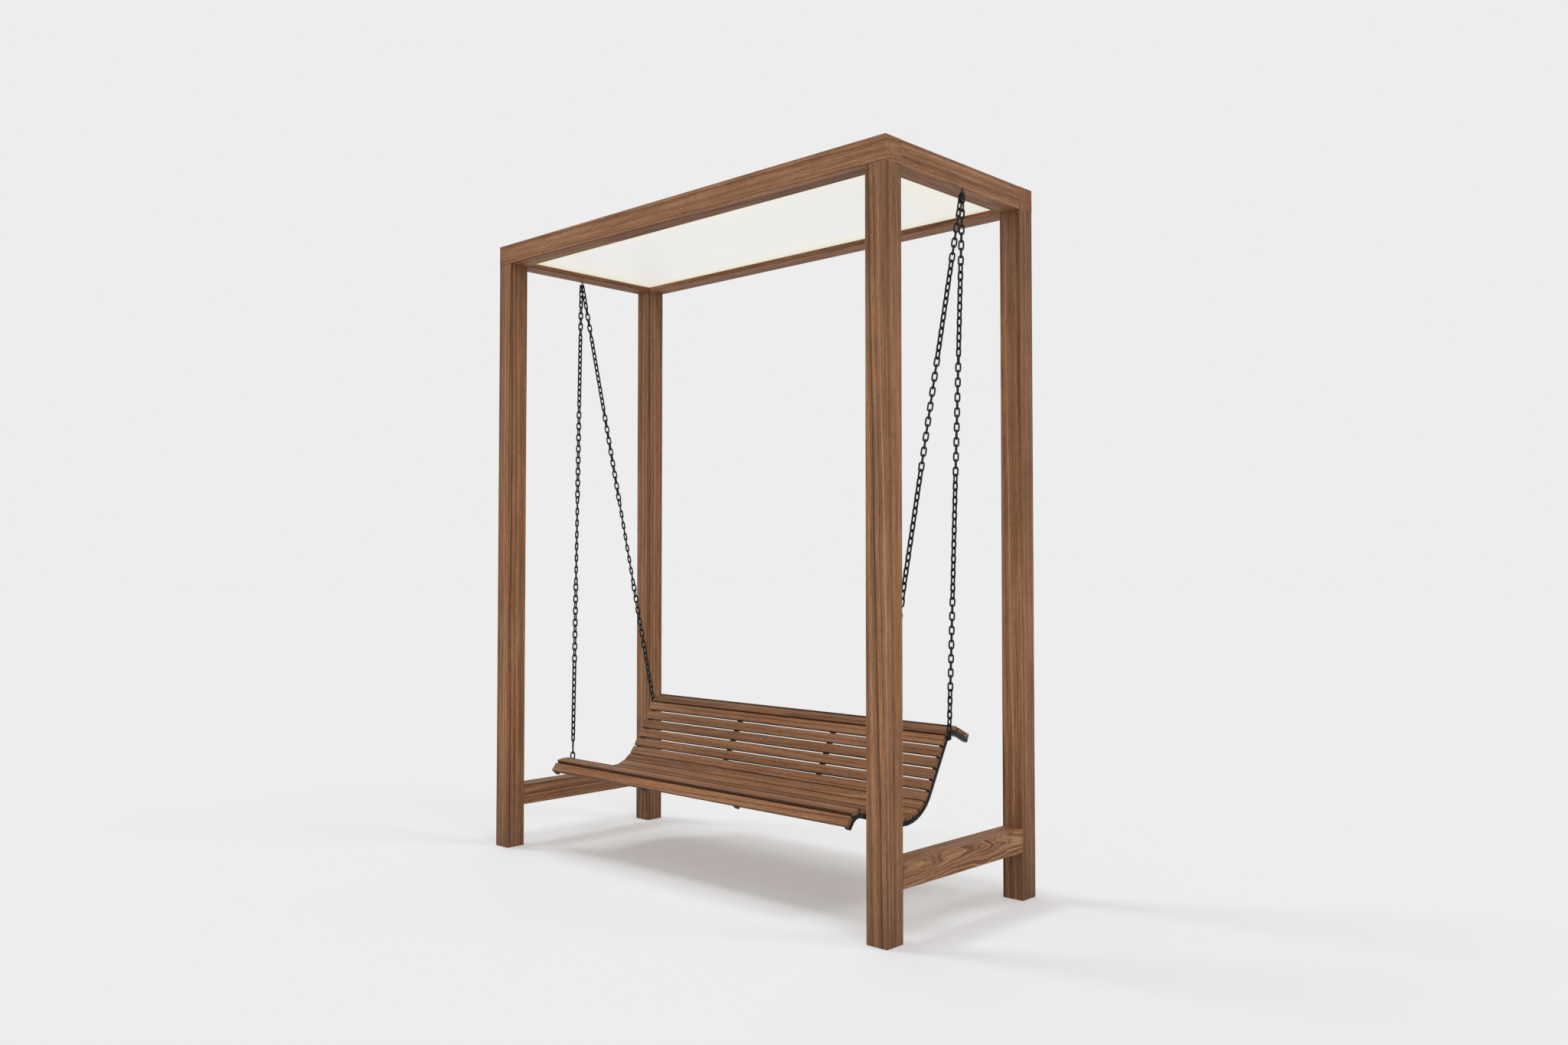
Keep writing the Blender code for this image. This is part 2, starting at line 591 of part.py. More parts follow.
def strand_ends(place, x_side, y_side):
    """The middle of the first link's upper bar in its hook, and of the last link's lower bar under its pin."""
    bowl = Vector((x_side * HOOK_X, HOOK_SETBACK, PIVOT_HEIGHT))
    neck = BENCH_LENGTH / 2 + JOINT_GAP + PIN_COLLAR_LENGTH + PIN_NECK_LENGTH / 2
    pin = Vector((x_side * neck, place.x, place.y))
    down = (pin - bowl).normalized()
    aside = LINK_BAR_HALF + TOP_LINK_GAP / 2
    ridge = aside + LINK_BAR_REACH * abs(down.y)
    sink = math.sqrt((bowl_radius() - JOINT_GAP) ** 2 - ridge ** 2) + LINK_BAR_REACH * down.z
    top = bowl + Vector((0, y_side * aside, -sink))
    down = (pin - top).normalized()
    return top, pin + (PIN_DIAMETER / 2 + JOINT_GAP + LINK_BAR_REACH) * down


def build_chains(line, pivot):
    """Four strands. Each is a run of links, each link's ridge bearing in the next one's."""
    for hand, x_side in (("left", -1), ("right", 1)):
        for row, place, y_side in pin_places(line):
            top, bottom = strand_ends(place, x_side, y_side)
            down = (bottom - top).normalized()
            room = 2 * LINK_BAR_REACH - LINK_WELD
            count = round(((bottom - top).length - room) / LINK_PITCH)
            pitch = ((bottom - top).length - room) / count
            across = (Vector((1, 0, 0)) - down.x * down).normalized()
            fore = across.cross(down)
            halves = [bmesh.new(), bmesh.new()]
            for number in range(count):
                turn = link_turn(number, count)
                lateral = math.cos(turn) * across + math.sin(turn) * fore
                add_link(halves[number % 2], number * pitch * down, down, lateral, pitch + room)
            name = f"chain_{row}_{hand}"
            strand = mesh_object(name, halves[0], top, pivot)
            boolean(strand, make_helper(mesh_object(name + "_even_links", halves[1], top, pivot)), "UNION")
            steel(strand)
            print(f"{name}: {count} links at a pitch of {pitch / MM:.2f} mm")


def main():
    clear_scene()
    build_posts()
    build_stretchers()
    build_long_beams()
    build_side_beams()
    build_panel()
    build_hooks()
    pivot = new_object("swing_pivot", None, (0, HOOK_SETBACK, PIVOT_HEIGHT))
    line = RibLine()
    build_ribs(line, pivot)
    build_slats(line, pivot)
    build_pins(line, pivot)
    build_chains(line, pivot)


main()
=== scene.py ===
import json
import math

import bmesh
import bpy
from mathutils import Matrix, Vector


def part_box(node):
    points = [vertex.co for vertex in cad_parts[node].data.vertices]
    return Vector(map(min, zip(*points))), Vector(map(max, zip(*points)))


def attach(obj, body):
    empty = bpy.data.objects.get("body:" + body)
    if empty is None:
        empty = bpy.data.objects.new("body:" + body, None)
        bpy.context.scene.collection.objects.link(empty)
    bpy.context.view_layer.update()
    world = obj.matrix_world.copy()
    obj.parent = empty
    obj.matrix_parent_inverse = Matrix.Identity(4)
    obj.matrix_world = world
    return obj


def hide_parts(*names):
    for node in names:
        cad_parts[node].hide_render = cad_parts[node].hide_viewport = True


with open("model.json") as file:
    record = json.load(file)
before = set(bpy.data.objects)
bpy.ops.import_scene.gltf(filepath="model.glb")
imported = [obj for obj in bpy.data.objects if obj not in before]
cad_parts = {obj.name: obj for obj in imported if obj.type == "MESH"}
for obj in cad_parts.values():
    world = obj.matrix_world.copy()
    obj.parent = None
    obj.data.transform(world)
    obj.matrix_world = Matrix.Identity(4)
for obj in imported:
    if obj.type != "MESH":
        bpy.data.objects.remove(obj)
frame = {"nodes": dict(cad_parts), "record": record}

# An arbor swing: a slatted bench on four chains inside a timber frame with a pale roof sheet.
# Everything is in metres. X runs along the bench, Y to the back and Z up.

mm = 0.001
degree = math.pi / 180
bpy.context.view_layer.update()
nodes = frame["nodes"]
pivot = Vector(frame["record"]["behaviour"]["joints"][0]["pos_m"])


# Helpers for objects and meshes

def newObject(name, data):
    thing = bpy.data.objects.new(name, data)
    bpy.context.scene.collection.objects.link(thing)
    return thing


def addPiece(name, data, material, body, solid):
    data.materials.append(material)
    piece = newObject(name, data)
    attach(piece, body)
    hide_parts(solid)


def plainMesh(name, bm):
    mesh = bpy.data.meshes.new(name)
    bm.to_mesh(mesh)
    bm.free()
    return mesh


def smoothMesh(name, bm, smoothBelow):
    bmesh.ops.recalc_face_normals(bm, faces=bm.faces)
    mesh = plainMesh(name, bm)
    mesh.shade_smooth()
    mesh.set_sharp_from_angle(angle=smoothBelow * degree)
    return mesh


def roundEdges(bm, edges, width, segments):
    bmesh.ops.bevel(bm, geom=edges, offset=width, affect="EDGES", segments=segments, profile=0.5, material=-1)


def vertsOf(items):
    return [item for item in items if isinstance(item, bmesh.types.BMVert)]


def edgesOf(items):
    return [item for item in items if isinstance(item, bmesh.types.BMEdge)]


def middleOf(node):
    low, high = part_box(node)
    return (Vector(low) + Vector(high)) / 2


def dressNode(name, material):
    for slot in nodes[name].material_slots:
        slot.material = material


# Helpers for materials

noiseRange = (0.3, 0.7)  # nearly all of a noise texture's values lie between these


def startMaterial(name, **values):
    material = bpy.data.materials.new(name)
    material.use_nodes = True
    shader = material.node_tree.nodes["Principled BSDF"]
    for socket, value in values.items():
        shader.inputs[socket.replace("_", " ")].default_value = value
    return material, material.node_tree, shader


def addNode(tree, kind, inputs, **settings):
    node = tree.nodes.new(kind)
    for key, value in settings.items():
        setattr(node, key, value)
    for key, value in inputs.items():
        if isinstance(value, bpy.types.NodeSocket):
            tree.links.new(value, node.inputs[key])
        else:
            node.inputs[key].default_value = value
    return node


def grey(level):
    return (level, level, level)


def ramp(tree, value, stops):
    node = addNode(tree, "ShaderNodeValToRGB", {"Fac": value})
    elements = node.color_ramp.elements
    while len(elements) < len(stops):
        elements.new(0.5)
    for element, (place, colour) in zip(elements, stops):
        element.position = place
        element.color = (*colour, 1)
    return node.outputs["Color"]


def noise(tree, vector, scale, detail, roughness, output="Fac"):
    inputs = {"Vector": vector, "Scale": scale, "Detail": detail, "Roughness": roughness}
    return addNode(tree, "ShaderNodeTexNoise", inputs).outputs[output]


def lineNoise(tree, value, scale, detail, roughness):
    inputs = {"W": value, "Scale": scale, "Detail": detail, "Roughness": roughness}
    return addNode(tree, "ShaderNodeTexNoise", inputs, noise_dimensions="1D").outputs["Fac"]


def maths(tree, operation, *values):
    return addNode(tree, "ShaderNodeMath", dict(enumerate(values)), operation=operation).outputs[0]


def vectorMaths(tree, operation, *values):
    outputs = addNode(tree, "ShaderNodeVectorMath", dict(enumerate(values)), operation=operation).outputs
    return outputs["Value" if operation in ("LENGTH", "DOT_PRODUCT") else "Vector"]


def axesOf(tree, vector):
    return addNode(tree, "ShaderNodeSeparateXYZ", {"Vector": vector}).outputs


def mapRange(tree, value, low, high, lowResult, highResult):
    inputs = {"Value": value, "From Min": low, "From Max": high, "To Min": lowResult, "To Max": highResult}
    return addNode(tree, "ShaderNodeMapRange", inputs).outputs["Result"]


def stretched(tree, vector, lengthways):
    return addNode(tree, "ShaderNodeMapping", {"Vector": vector, "Scale": (1, 1, lengthways)}).outputs["Vector"]


def multiply(tree, colour, shade, share=1.0):
    inputs = {"Factor": share, 6: colour, 7: shade}  # sockets 6 and 7 are the two colours
    return addNode(tree, "ShaderNodeMix", inputs, data_type="RGBA", blend_type="MULTIPLY").outputs[2]


def emboss(tree, shader, strength, distance, height):
    relief = addNode(tree, "ShaderNodeBump", {"Strength": strength, "Distance": distance, "Height": height})
    tree.links.new(relief.outputs["Normal"], shader.inputs["Normal"])


# Oiled wood with its grain along one axis. The figure is cut from one solid log whose heart lies to the side.
# Each noise has a scale per metre, a detail and a roughness. The shares blend four of them into dark and light.

woodGrain = {
    "dark": (0.118, 0.045, 0.0155),
    "middle": (0.240, 0.107, 0.044),
    "light": (0.395, 0.205, 0.105),
    "spread": 0.090,                # from the middle shade to the dark and light ones, on the timber
    "slatSpread": 0.118,
    "rings": (70, 5.0, 0.62),
    "ringShare": 0.40,
    "figurePower": 1.2,
    "lines": (330, 2.0, 0.5),
    "lineShare": 0.24,
    "streaks": (95, 5.0, 0.62),
    "streakShare": 0.20,
    "broad": (7.0, 3.0, 0.55),
    "broadShare": 0.16,
    "pores": (620, 3.0, 0.6),
    "poreColour": (0.42, 0.36, 0.33),
    "poreRange": (0.36, 0.50),
    "poreShare": 0.75,
    "drift": (5.0, 3.0, 0.5),       # bends the rings, by wander at most
    "wander": 16 * mm,
    "fibreScale": 0.045,            # a small scale along the grain gives long fibres
    "patchScale": 0.22,
    "roughness": (0.72, 0.56),
    "reliefStrength": 0.5,
    "relief": 0.35 * mm,
    "poreRelief": 0.6,
    # painted shade on a slat's long edges, darkest where the face turns fully across the slat's width
    "paintedEdgeRange": (0.5, 0.95),
    "paintedEdgeShade": 0.42,
    # painted shade: a post's foot and head are a little darker than its middle, as shade near the floor and under the
    # roof: share of its height, shade
    "paintedPostShade": ((0.02, 0.70), (0.06, 0.76), (0.13, 0.90), (0.22, 1.05), (0.60, 1.04), (0.77, 0.96), (0.90, 0.83),
                  (0.95, 0.79)),
}

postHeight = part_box("post_front_left")[1][2]
grainTurns = {"X": (0, 90 * degree, 0), "Y": (90 * degree, 0, 0), "Z": (0, 0, 0)}
acrossGrain = {"X": (1, 2), "Y": (0, 2), "Z": (0, 1)}


def spreadAcross(axis, pair):
    vector = Vector((0, 0, 0))
    for place, value in zip(acrossGrain[axis], pair):
        vector[place] = value
    return vector


def oiledWood(name, axis, heart, lean, tone, warmth, figure, spread, edgeWay=None):
    grain = woodGrain
    material, tree, shader = startMaterial(name, IOR=1.45, Specular_IOR_Level=0.35)
    sources = addNode(tree, "ShaderNodeTexCoord", {}).outputs
    turn = Vector(grainTurns[axis]) + spreadAcross(axis, lean)
    log = addNode(tree, "ShaderNodeMapping", {"Vector": sources["Object"], "Location": heart, "Rotation": turn},
                  vector_type="TEXTURE").outputs["Vector"]
    fibre = stretched(tree, log, grain["fibreScale"])
    patch = stretched(tree, log, grain["patchScale"])
    drift = vectorMaths(tree, "SUBTRACT", noise(tree, patch, *grain["drift"], output="Color"), grey(0.5))
    bent = vectorMaths(tree, "MULTIPLY_ADD", drift, grey(figure * grain["wander"]), log)
    radius = vectorMaths(tree, "LENGTH", vectorMaths(tree, "MULTIPLY", bent, (1, 1, 0)))
    ringScale, ringDetail, ringRoughness = grain["rings"]
    rings = lineNoise(tree, radius, ringScale * figure ** grain["figurePower"], ringDetail, ringRoughness)
    lines = lineNoise(tree, radius, *grain["lines"])
    streaks = noise(tree, fibre, *grain["streaks"])
    broad = noise(tree, patch, *grain["broad"])
    fine = noise(tree, fibre, *grain["pores"])
    blend = 0.0
    for layer, share in ((rings, "ringShare"), (lines, "lineShare"), (streaks, "streakShare"), (broad, "broadShare")):
        blend = maths(tree, "MULTIPLY_ADD", layer, grain[share], blend)
    tint = Vector((tone * warmth, tone, tone / warmth))
    dark, middle, light = [tuple(channel * factor for channel, factor in zip(grain[shade], tint))
                           for shade in ("dark", "middle", "light")]
    colour = ramp(tree, blend, ((0.5 - spread, dark), (0.5, middle), (0.5 + spread, light)))
    poresFrom, poresTo = grain["poreRange"]
    pores = ramp(tree, fine, ((poresFrom, grain["poreColour"]), (poresTo, grey(1))))
    colour = multiply(tree, colour, pores, grain["poreShare"])
    # painted shade: the slat's long edges are darkened, as shade between and under the slats
    if edgeWay is not None:
        turned = maths(tree, "ABSOLUTE", vectorMaths(tree, "DOT_PRODUCT", sources["Normal"], edgeWay))
        edgeFrom, edgeTo = grain["paintedEdgeRange"]
        colour = multiply(tree, colour, ramp(tree, turned, ((edgeFrom, grey(1)), (edgeTo, grey(grain["paintedEdgeShade"])))))
    # painted shade on the posts: darker towards the foot and the head
    if axis == "Z":
        share = maths(tree, "DIVIDE", axesOf(tree, sources["Object"])["Z"], postHeight)
        shade = ramp(tree, share, [(place, grey(level)) for place, level in grain["paintedPostShade"]])
        colour = multiply(tree, colour, shade)
    tree.links.new(colour, shader.inputs["Base Color"])
    tree.links.new(mapRange(tree, streaks, *noiseRange, *grain["roughness"]), shader.inputs["Roughness"])
    height = maths(tree, "MULTIPLY_ADD", fine, grain["poreRelief"], blend)
    emboss(tree, shader, grain["reliefStrength"], grain["relief"], height)
    return material


# Satin black coated steel

blackCoat = {
    "colour": (0.005, 0.0052, 0.006, 1),
    "wear": (35, 4.0, 0.6),
    "roughness": (0.40, 0.55),
    "pebble": (900, 2.0, 0.5),
    "pebbleStrength": 0.25,
    "pebbleHeight": 0.1 * mm,
}


def satinBlack(name):
    material, tree, shader = startMaterial(name, Base_Color=blackCoat["colour"], IOR=1.5, Specular_IOR_Level=0.3)
    coordinates = addNode(tree, "ShaderNodeTexCoord", {}).outputs["Object"]
    wear = noise(tree, coordinates, *blackCoat["wear"])
    tree.links.new(mapRange(tree, wear, *noiseRange, *blackCoat["roughness"]), shader.inputs["Roughness"])
    pebble = noise(tree, coordinates, *blackCoat["pebble"])
    emboss(tree, shader, blackCoat["pebbleStrength"], blackCoat["pebbleHeight"], pebble)
    return material


# Roof sheet: off-white. Its underside carries a painted glow in place of daylight coming through it, and a warmer
# painted glow near the beams in place of light bounced off the wood.

roofSheet = {
    "colour": (0.45, 0.45, 0.44),
    "cloud": (4.0, 3.0, 0.5),
    "cloudRange": (0.35, 0.65),
    "cloudShade": 0.985,
    # painted glow: emission on a sheet that is no lamp, in place of daylight through it
    "glow": 0.49,
    "paintedGlowTopShare": 0.3,
    "paintedMiddleGlow": (1.0, 1.0, 0.98),
    "paintedRimGlow": (1.12, 1.08, 0.84),
    "paintedRimReach": (0.30, 0.16),      # how far the warm painted rim glow reaches in, along X and Y
    "frost": (500, 2.0, 0.5),
    "roughness": (0.45, 0.6),
}


def frostedSheet(name):
    material, tree, shader = startMaterial(name, IOR=1.45, Specular_IOR_Level=0.15)
    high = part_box("roof_panel")[1]
    sources = addNode(tree, "ShaderNodeTexCoord", {}).outputs
    coordinates = sources["Object"]
    dim = tuple(channel * roofSheet["cloudShade"] for channel in roofSheet["colour"])
    dimAt, clearAt = roofSheet["cloudRange"]
    cloud = ramp(tree, noise(tree, coordinates, *roofSheet["cloud"]), ((dimAt, dim), (clearAt, roofSheet["colour"])))
    tree.links.new(cloud, shader.inputs["Base Color"])
    axes = axesOf(tree, coordinates)
    nearness = [mapRange(tree, maths(tree, "ABSOLUTE", axes[number]), high[number] - reach, high[number], 0, 1)
                for number, reach in enumerate(roofSheet["paintedRimReach"])]
    # painted bounce light: the glow turns warmer towards the sheet's edges, near the beams
    paintedRimMask = maths(tree, "MAXIMUM", *nearness)
    glow = ramp(tree, paintedRimMask, ((0.0, roofSheet["paintedMiddleGlow"]), (1.0, roofSheet["paintedRimGlow"])))
    tree.links.new(glow, shader.inputs["Emission Color"])
    # painted glow: full on the underside, a share of it on the top
    upward = axesOf(tree, sources["Normal"])["Z"]
    strength = mapRange(tree, upward, -1, 1, roofSheet["glow"], roofSheet["glow"] * roofSheet["paintedGlowTopShare"])
    tree.links.new(strength, shader.inputs["Emission Strength"])
    frost = noise(tree, coordinates, *roofSheet["frost"])
    tree.links.new(mapRange(tree, frost, 0, 1, *roofSheet["roughness"]), shader.inputs["Roughness"])
    return material


steel = satinBlack("satin_black_steel")

# Timber frame. For each piece: the axis of its grain, how far the log's heart lies to the side, the log's lean
# in degrees, tone, warmth, and figure, which makes the log wander and so opens the rings into loops.

timberCuts = {
    "post_front_right": ("Z", (0.21, 0.26), (0.5, -0.4), 1.01, 1.00, 1.0),
    "post_front_left": ("Z", (-0.24, 0.20), (-0.4, 0.4), 1.00, 1.02, 1.0),
    "post_rear_right": ("Z", (0.16, 0.26), (0.5, 0.3), 0.95, 1.00, 1.0),
    "post_rear_left": ("Z", (-0.20, 0.24), (0.4, -0.3), 1.03, 1.00, 1.0),
    "beam_front": ("X", (0.03, -0.28), (0.3, 0.4), 1.04, 1.00, 1.0),
    # beam_rear and beam_left: their lower tone and warmer tint are painted shade for their inner faces under the roof
    "beam_rear": ("X", (0.26, 0.03), (-0.4, 0.3), 0.84, 1.09, 1.0),
    "beam_left": ("Y", (0.21, -0.18), (0.4, -0.5), 0.84, 1.09, 1.0),
    "beam_right": ("Y", (-0.20, -0.22), (0.5, 0.4), 1.04, 1.00, 1.0),
    "stretcher_left": ("Y", (0.19, 0.20), (0.6, -0.5), 0.98, 1.00, 1.0),
    "stretcher_right": ("Y", (-0.085, 0.012), (0.4, 1.6), 1.00, 1.01, 5.0),
}


def finishTimber():
    for name, (axis, aside, lean, tone, warmth, figure) in timberCuts.items():
        heart = middleOf(name) + spreadAcross(axis, aside)
        lean = tuple(angle * degree for angle in lean)
        dressNode(name, oiledWood(name + "_wood", axis, heart, lean, tone, warmth, figure, woodGrain["spread"]))
    print("timber finished")


def finishRoof():
    dressNode("roof_panel", frostedSheet("frosted_roof_sheet"))
    print("roof sheet finished")


# Slats with rounded arrises. Each is cut from its own log, whose place follows from the slat's number.

slatShape = {
    "width": 42 * mm,
    "thickness": 18 * mm,
    "edgeRound": 1.6 * mm,
    "endRound": 0.8 * mm,
    "smoothBelow": 35,
    "toeLift": 1.5 * mm,            # brings the toe slat up to the roll slat
    "logStep": 0.37,
    "heartAway": 0.09,
    "heartStep": 2.4,
    "mostLean": 0.5 * degree,
    "leanSteps": (3.1, 1.7),
}

# Tone and warmth of each slat
slatTones = {
    "toe_slat": (1.06, 1.02), "roll_slat": (1.00, 1.01),
    "seat_slat_1": (0.95, 1.00), "seat_slat_2": (1.05, 1.02), "seat_slat_3": (1.00, 1.00), "seat_slat_4": (1.08, 1.01),
    "seat_slat_5": (0.96, 1.00), "seat_slat_6": (1.04, 1.02), "seat_slat_7": (0.98, 1.00), "seat_slat_8": (1.06, 1.01),
    "back_slat_1": (0.95, 1.01), "back_slat_2": (1.03, 1.00), "back_slat_3": (0.98, 1.02), "back_slat_4": (1.06, 1.00),
    "back_slat_5": (0.94, 1.01), "back_slat_6": (1.02, 1.00), "back_slat_7": (1.07, 1.02),
    "top_slat": (0.97, 1.00), "crest_slat": (1.05, 1.01), "tail_slat_1": (1.00, 1.00), "tail_slat_2": (0.96, 1.01),
}


def slatHeading(name):
    widest = max(nodes[name].data.polygons, key=lambda face: face.area).normal
    if widest.dot(Vector((0, -0.5, 1))) < 0:
        widest = -widest
    return math.atan2(-widest.y, widest.z)


def buildSlats():
    shape = slatShape
    for number, (name, (tone, warmth)) in enumerate(slatTones.items()):
        low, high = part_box(name)
        length = high[0] - low[0]
        heading = slatHeading(name)
        edgeWay = Vector((0, math.cos(heading), math.sin(heading)))
        middle = middleOf(name)
        if name == "toe_slat":
            middle += shape["toeLift"] * edgeWay
        bm = bmesh.new()
        bmesh.ops.create_cube(bm, size=1.0, matrix=Matrix.Diagonal((length, shape["width"], shape["thickness"], 1)))
        arrises = [edge for edge in bm.edges if abs(edge.verts[0].co.x - edge.verts[1].co.x) > length / 2]
        roundEdges(bm, arrises, shape["edgeRound"], 4)
        ends = [edge for edge in bm.edges if abs(edge.verts[0].co.x + edge.verts[1].co.x) > length * 0.99]
        roundEdges(bm, ends, shape["endRound"], 2)
        turn = Matrix.Rotation(heading, 4, "X")
        bmesh.ops.transform(bm, verts=bm.verts, matrix=Matrix.Translation(middle) @ turn)
        swing = shape["heartStep"] * number
        aside = shape["heartAway"] * Vector((0, math.cos(swing), math.sin(swing)))
        heart = middle + aside + Vector((shape["logStep"] * number, 0, 0))
        firstStep, secondStep = shape["leanSteps"]
        lean = (shape["mostLean"] * math.sin(firstStep * number), shape["mostLean"] * math.cos(secondStep * number))
        # edgeWay lets the wood paint shade on the slat's long edges
        material = oiledWood(name + "_wood", "X", heart, lean, tone, warmth, 1.0, woodGrain["slatSpread"], edgeWay)
        board = name + "_board"
        addPiece(board, smoothMesh(board, bm, shape["smoothBelow"]), material, "swing", name)
    print("slats built")


# Ribs: flat black bars bent to the bench's side line

benchCurve = {
    "bowCentre": (-4.3 * mm, 528 * mm),
    "bowRadius": 179 * mm,
    "seatFall": 15.9 * degree,
    "seatRun": 242 * mm,
    "rollRadius": 62 * mm,
    "toeRise": 53.5 * degree,
    "toeRun": 28 * mm,
    "backRise": 60.8 * degree,
    "backRun": 247.5 * mm,
    "crestRadius": 61 * mm,
    "tailFall": 25.2 * degree,
    "tailRun": 95.5 * mm,
}

ribShape = {"thickness": 19 * mm, "edgeRound": 1.2 * mm, "stepsPerBend": 18, "cornerFrom": 60, "smoothBelow": 32}


def alongLine(heading):
    return Vector((math.cos(heading), math.sin(heading)))


def aboveLine(heading):
    return Vector((-math.sin(heading), math.cos(heading)))


def benchLine():
    curve = benchCurve
    bow = Vector(curve["bowCentre"])
    seatEnd = bow - curve["bowRadius"] * aboveLine(-curve["seatFall"])
    seatStart = seatEnd - curve["seatRun"] * alongLine(-curve["seatFall"])
    roll = seatStart - curve["rollRadius"] * aboveLine(-curve["seatFall"])
    backStart = bow - curve["bowRadius"] * aboveLine(curve["backRise"])
    backEnd = backStart + curve["backRun"] * alongLine(curve["backRise"])
    crest = backEnd - curve["crestRadius"] * aboveLine(curve["backRise"])
    bends = ((roll, curve["rollRadius"], curve["toeRise"], -curve["seatFall"]),
             (bow, -curve["bowRadius"], -curve["seatFall"], curve["backRise"]),
             (crest, curve["crestRadius"], curve["backRise"], -curve["tailFall"]))
    line = []
    for centre, radius, start, end in bends:
        for step in range(ribShape["stepsPerBend"] + 1):
            heading = start + (end - start) * step / ribShape["stepsPerBend"]
            line.append((centre + radius * aboveLine(heading), heading))
    line.insert(0, (line[0][0] - curve["toeRun"] * alongLine(curve["toeRise"]), curve["toeRise"]))
    line.append((line[-1][0] + curve["tailRun"] * alongLine(-curve["tailFall"]), -curve["tailFall"]))
    return line


def buildRibs():
    line = benchLine()
    upper = [point for point, heading in line]
    lower = [point - ribShape["thickness"] * aboveLine(heading) for point, heading in line]
    for name in ("rib_left_end", "rib_left_middle", "rib_right_middle", "rib_right_end"):
        low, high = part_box(name)
        bm = bmesh.new()
        side = bm.faces.new([bm.verts.new((low[0], point.x, point.y)) for point in upper + lower[::-1]])
        drawn = bmesh.ops.extrude_face_region(bm, geom=[side])["geom"]
        bmesh.ops.translate(bm, verts=vertsOf(drawn), vec=(high[0] - low[0], 0, 0))
        bmesh.ops.recalc_face_normals(bm, faces=bm.faces)
        sharpest = ribShape["cornerFrom"] * degree
        corners = [edge for edge in bm.edges if len(edge.link_faces) == 2 and edge.calc_face_angle() > sharpest]
        roundEdges(bm, corners, ribShape["edgeRound"], 2)
        bar = name + "_bar"
        addPiece(bar, smoothMesh(bar, bm, ribShape["smoothBelow"]), steel, "swing", name)
    print("ribs built")


# Chain pins through the end ribs, and their nuts

pinShape = {
    "shank": 8 * mm,
    "tipChamfer": 0.8 * mm,
    "collar": 14 * mm,
    "collarLength": 5 * mm,
    "edgeChamfer": 0.5 * mm,
    "neckLength": 8.8 * mm,
    "cap": 15 * mm,
    "capLength": 4 * mm,
    "capRound": 1.5 * mm,
    "sides": 32,
    "smoothBelow": 30,
}

nutShape = {"flats": 12 * mm, "edgeRound": 0.8 * mm, "smoothBelow": 30}


def pinProfile(inner, outer):
    shape = pinShape
    shank, collar, cap = shape["shank"] / 2, shape["collar"] / 2, shape["cap"] / 2
    tip, edge, bend = shape["tipChamfer"], shape["edgeChamfer"], shape["capRound"]
    capStart = outer - shape["capLength"]
    neckStart = capStart - shape["neckLength"]
    collarStart = neckStart - shape["collarLength"]
    rounded = [(outer - bend + bend * math.sin(turn * degree), cap - bend + bend * math.cos(turn * degree))
               for turn in (0, 30, 60, 90)]
    return [(inner, 0), (inner, shank - tip), (inner + tip, shank), (collarStart, shank),
            (collarStart, collar - edge), (collarStart + edge, collar), (neckStart - edge, collar),
            (neckStart, collar - edge), (neckStart, shank), (capStart, shank),
            (capStart, cap - edge), (capStart + edge, cap), *rounded, (outer, 0)]


def spinProfile(profile, sides):
    bm = bmesh.new()
    points = [bm.verts.new((x, 0, radius)) for x, radius in profile]
    edges = [bm.edges.new(pair) for pair in zip(points, points[1:])]
    bmesh.ops.spin(bm, geom=points + edges, cent=(0, 0, 0), axis=(1, 0, 0), angle=2 * math.pi, steps=sides,
                   use_merge=True)
    bmesh.ops.remove_doubles(bm, verts=bm.verts, dist=0.001 * mm)
    return bm


def buildPin(name, side):
    low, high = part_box(name)
    inner, outer = sorted((abs(low[0]), abs(high[0])))
    middle = middleOf(name)
    bm = spinProfile([(side * x, radius) for x, radius in pinProfile(inner, outer)], pinShape["sides"])
    bmesh.ops.translate(bm, verts=bm.verts, vec=(0, middle.y, middle.z))
    turned = name + "_turned"
    addPiece(turned, smoothMesh(turned, bm, pinShape["smoothBelow"]), steel, "swing", name)


def buildNut(name):
    low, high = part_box(name)
    radius = nutShape["flats"] / math.sqrt(3)
    bm = bmesh.new()
    bmesh.ops.create_cone(bm, cap_ends=True, segments=6, radius1=radius, radius2=radius, depth=high[0] - low[0],
                          matrix=Matrix.Rotation(90 * degree, 4, "Y"))
    roundEdges(bm, bm.edges[:], nutShape["edgeRound"], 2)
    bmesh.ops.translate(bm, verts=bm.verts, vec=middleOf(name))
    hexagon = name + "_hex"
    addPiece(hexagon, smoothMesh(hexagon, bm, nutShape["smoothBelow"]), steel, "swing", name)


def buildPins():
    for hand, side in (("left", -1), ("right", 1)):
        for row in ("front", "rear"):
            buildPin(f"chain_pin_{row}_{hand}", side)
            buildNut(f"chain_nut_{row}_{hand}")
    print("pins and nuts built")


# Hooks: bent wire screwed up into the side beams

hookShape = {
    "wire": 6 * mm,
    "screw": 55 * mm,
    "drop": 16 * mm,
    "neck": 2 * mm,
    "bowl": 7.28 * mm,
    "rearAngle": 50 * degree,
    "tipAngle": 18 * degree,
    "pullShare": 0.4,
    "neckSteps": 10,
    "bowlSteps": 36,
    "roundness": 6,
}


